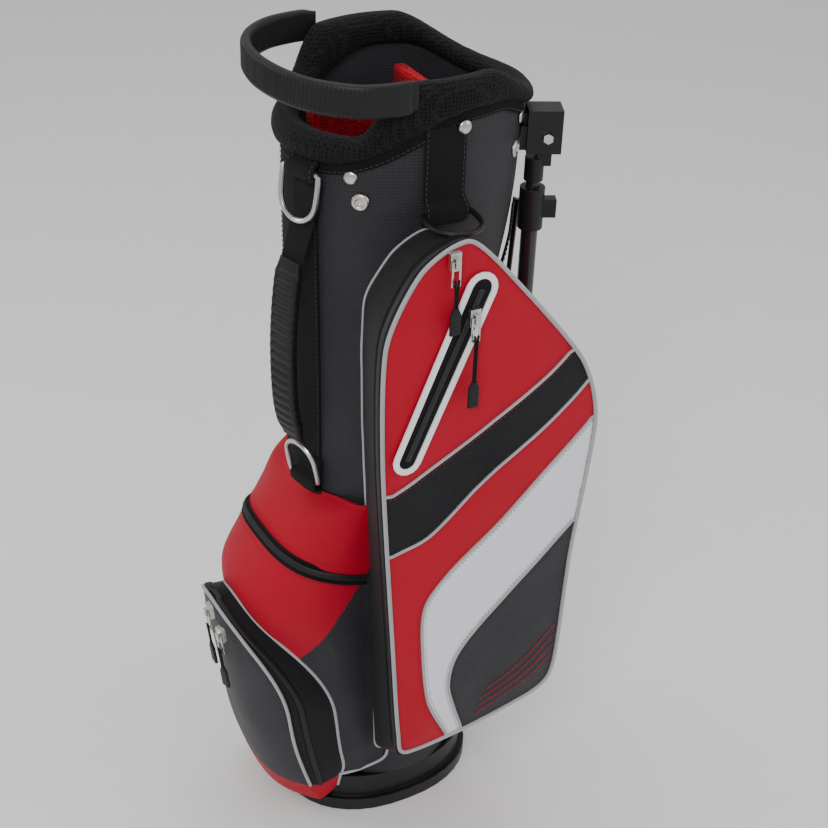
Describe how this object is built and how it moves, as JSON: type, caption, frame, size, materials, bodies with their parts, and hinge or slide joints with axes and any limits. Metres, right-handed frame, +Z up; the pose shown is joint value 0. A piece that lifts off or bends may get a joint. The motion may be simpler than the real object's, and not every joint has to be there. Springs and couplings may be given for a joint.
{
  "type": "golf stand bag",
  "caption": "Upright golf bag on an oval moulded base, with folding coupled legs, padded top cuff, lift handle, carry handle, D-rings and zipped pockets.",
  "frame": {"origin": "on the floor under the middle of the round tube, in the base's flat underside", "axes": "+Z up along the tube, +X to the folding legs, -X to the spine with the carry handle and ball pocket, -Y to the big apparel pocket"},
  "size_m": [0.3064, 0.2504, 0.726],
  "materials": {
    "ripstop": "charcoal ripstop",
    "black_webbing": "woven webbing",
    "black_mesh": "padded spacer mesh",
    "red_mesh": "padded mesh",
    "red_fabric": "woven polyester",
    "white_trim": "welded film",
    "black_rubber": "matt",
    "black_plastic": "moulded",
    "black_tube": "powder coat",
    "nickel": "satin nickel plate"
  },
  "bodies": {
    "bag": {"tube_shell": "ripstop", "ball_pocket": "ripstop", "spine_panel": "black_webbing", "towel_strap": "black_webbing", "handle_strap_top": "black_webbing", "handle_strap_end": "black_webbing", "leg_strap": "black_webbing", "panel_zip_tape": "black_webbing", "top_cuff": "black_mesh", "divider_bars": "red_mesh", "apparel_pocket": "red_fabric", "accessory_pocket": "red_fabric", "panel_zip_frame": "white_trim", "lift_handle": "black_rubber", "handle_grip": "black_rubber", "base_cup": "black_plastic", "leg_bracket": "black_plastic", "lever_pin": "nickel", "hinge_screw_near": "nickel", "hinge_screw_far": "nickel", "lower_d_ring": "nickel", "main_zip_slider": "nickel", "ball_zip_left_slider": "nickel", "ball_zip_right_slider": "nickel", "rivet_front_1": "nickel", "rivet_front_2": "nickel", "rivet_front_3": "nickel", "rivet_back_1": "nickel", "rivet_back_2": "nickel", "rivet_back_3": "nickel", "snap_front_1": "nickel", "snap_front_2": "nickel", "snap_back_1": "nickel", "snap_back_2": "nickel", "upper_ring_tab": "black_webbing", "lower_ring_tab": "black_webbing"},
    "leg_near": {"leg_head_near": "black_plastic", "upper_leg_near": "black_tube", "lower_leg_near": "black_tube", "rod_clamp_near": "black_plastic", "leg_foot_near": "black_rubber"},
    "leg_far": {"leg_head_far": "black_plastic", "upper_leg_far": "black_tube", "lower_leg_far": "black_tube", "rod_clamp_far": "black_plastic", "leg_foot_far": "black_rubber"},
    "base_lever": {"base_lever": "black_plastic"},
    "rod_near": {"push_rod_near": "nickel"},
    "rod_far": {"push_rod_far": "nickel"},
    "upper_ring": {"upper_d_ring": "nickel"},
    "towel_ring": {"towel_ring": "black_plastic"},
    "panel_slider": {"panel_zip_slider": "nickel"},
    "panel_pull": {"panel_zip_puller": "nickel", "panel_zip_tab": "black_rubber"},
    "main_pull": {"main_zip_puller": "nickel", "main_zip_tab": "black_rubber"},
    "ball_left_pull": {"ball_zip_left_puller": "nickel", "ball_zip_left_tab": "black_rubber"},
    "ball_right_pull": {"ball_zip_right_puller": "nickel", "ball_zip_right_tab": "black_rubber"}
  },
  "joints": [
    {"name": "leg_near_swing", "type": "hinge", "parent": "bag", "child": "leg_near", "pos_m": [0.1188, -0.04817, 0.648], "axis": [-0.4226, -0.9063, 0], "range_deg": [0, 28]},
    {"name": "leg_far_swing", "type": "hinge", "parent": "bag", "child": "leg_far", "pos_m": [0.1188, 0.04817, 0.648], "axis": [0.4226, -0.9063, 0], "range_deg": [0, 28]},
    {"name": "lever_swing", "type": "hinge", "parent": "bag", "child": "base_lever", "pos_m": [0.046, 0, 0.0042], "axis": [0, -1, 0], "range_deg": [0, 2.9]},
    {"name": "rod_near_tilt", "type": "hinge", "parent": "base_lever", "child": "rod_near", "pos_m": [0.086, -0.017, 0.0132], "axis": [0.2265, 0.974, -0.0064], "range_deg": [0, 6.05]},
    {"name": "rod_far_tilt", "type": "hinge", "parent": "base_lever", "child": "rod_far", "pos_m": [0.086, 0.017, 0.0132], "axis": [-0.2265, 0.974, 0.0064], "range_deg": [0, 6.05]},
    {"name": "upper_ring_swing", "type": "hinge", "parent": "bag", "child": "upper_ring", "pos_m": [-0.08534, -0.02501, 0.644], "axis": [-0.321, 0.9471, 0], "range_deg": [0, 75]},
    {"name": "towel_ring_swing", "type": "hinge", "parent": "bag", "child": "towel_ring", "pos_m": [0.00575, -0.0876, 0.617], "axis": [-0.9973, 0.074, 0], "range_deg": [0, 80]},
    {"name": "panel_zip_slide", "type": "slide", "parent": "bag", "child": "panel_slider", "axis": [-0.3924, 0, -0.9198], "range_m": [0, 0.112]},
    {"name": "panel_pull_swing", "type": "hinge", "parent": "panel_slider", "child": "panel_pull", "pos_m": [-0.004, -0.1557, 0.562], "axis": [-1, 0, 0], "range_deg": [0, 110]},
    {"name": "main_pull_swing", "type": "hinge", "parent": "bag", "child": "main_pull", "pos_m": [-0.022, -0.1533, 0.611], "axis": [-1, 0, 0], "range_deg": [0, 110]},
    {"name": "ball_left_pull_swing", "type": "hinge", "parent": "bag", "child": "ball_left_pull", "pos_m": [-0.16976, -0.008, 0.23732], "axis": [0, 1, 0], "range_deg": [0, 110]},
    {"name": "ball_right_pull_swing", "type": "hinge", "parent": "bag", "child": "ball_right_pull", "pos_m": [-0.16836, -0.02943, 0.22536], "axis": [-0.2678, 0.9628, -0.0348], "range_deg": [0, 110]}
  ],
  "couplings": [
    {"joint": "leg_far_swing", "follows": "leg_near_swing", "ratio": 1},
    {"joint": "lever_swing", "follows": "leg_near_swing", "ratio": 0.10291},
    {"joint": "rod_near_tilt", "follows": "leg_near_swing", "ratio": 0.21452},
    {"joint": "rod_far_tilt", "follows": "leg_near_swing", "ratio": 0.21452}
  ]
}
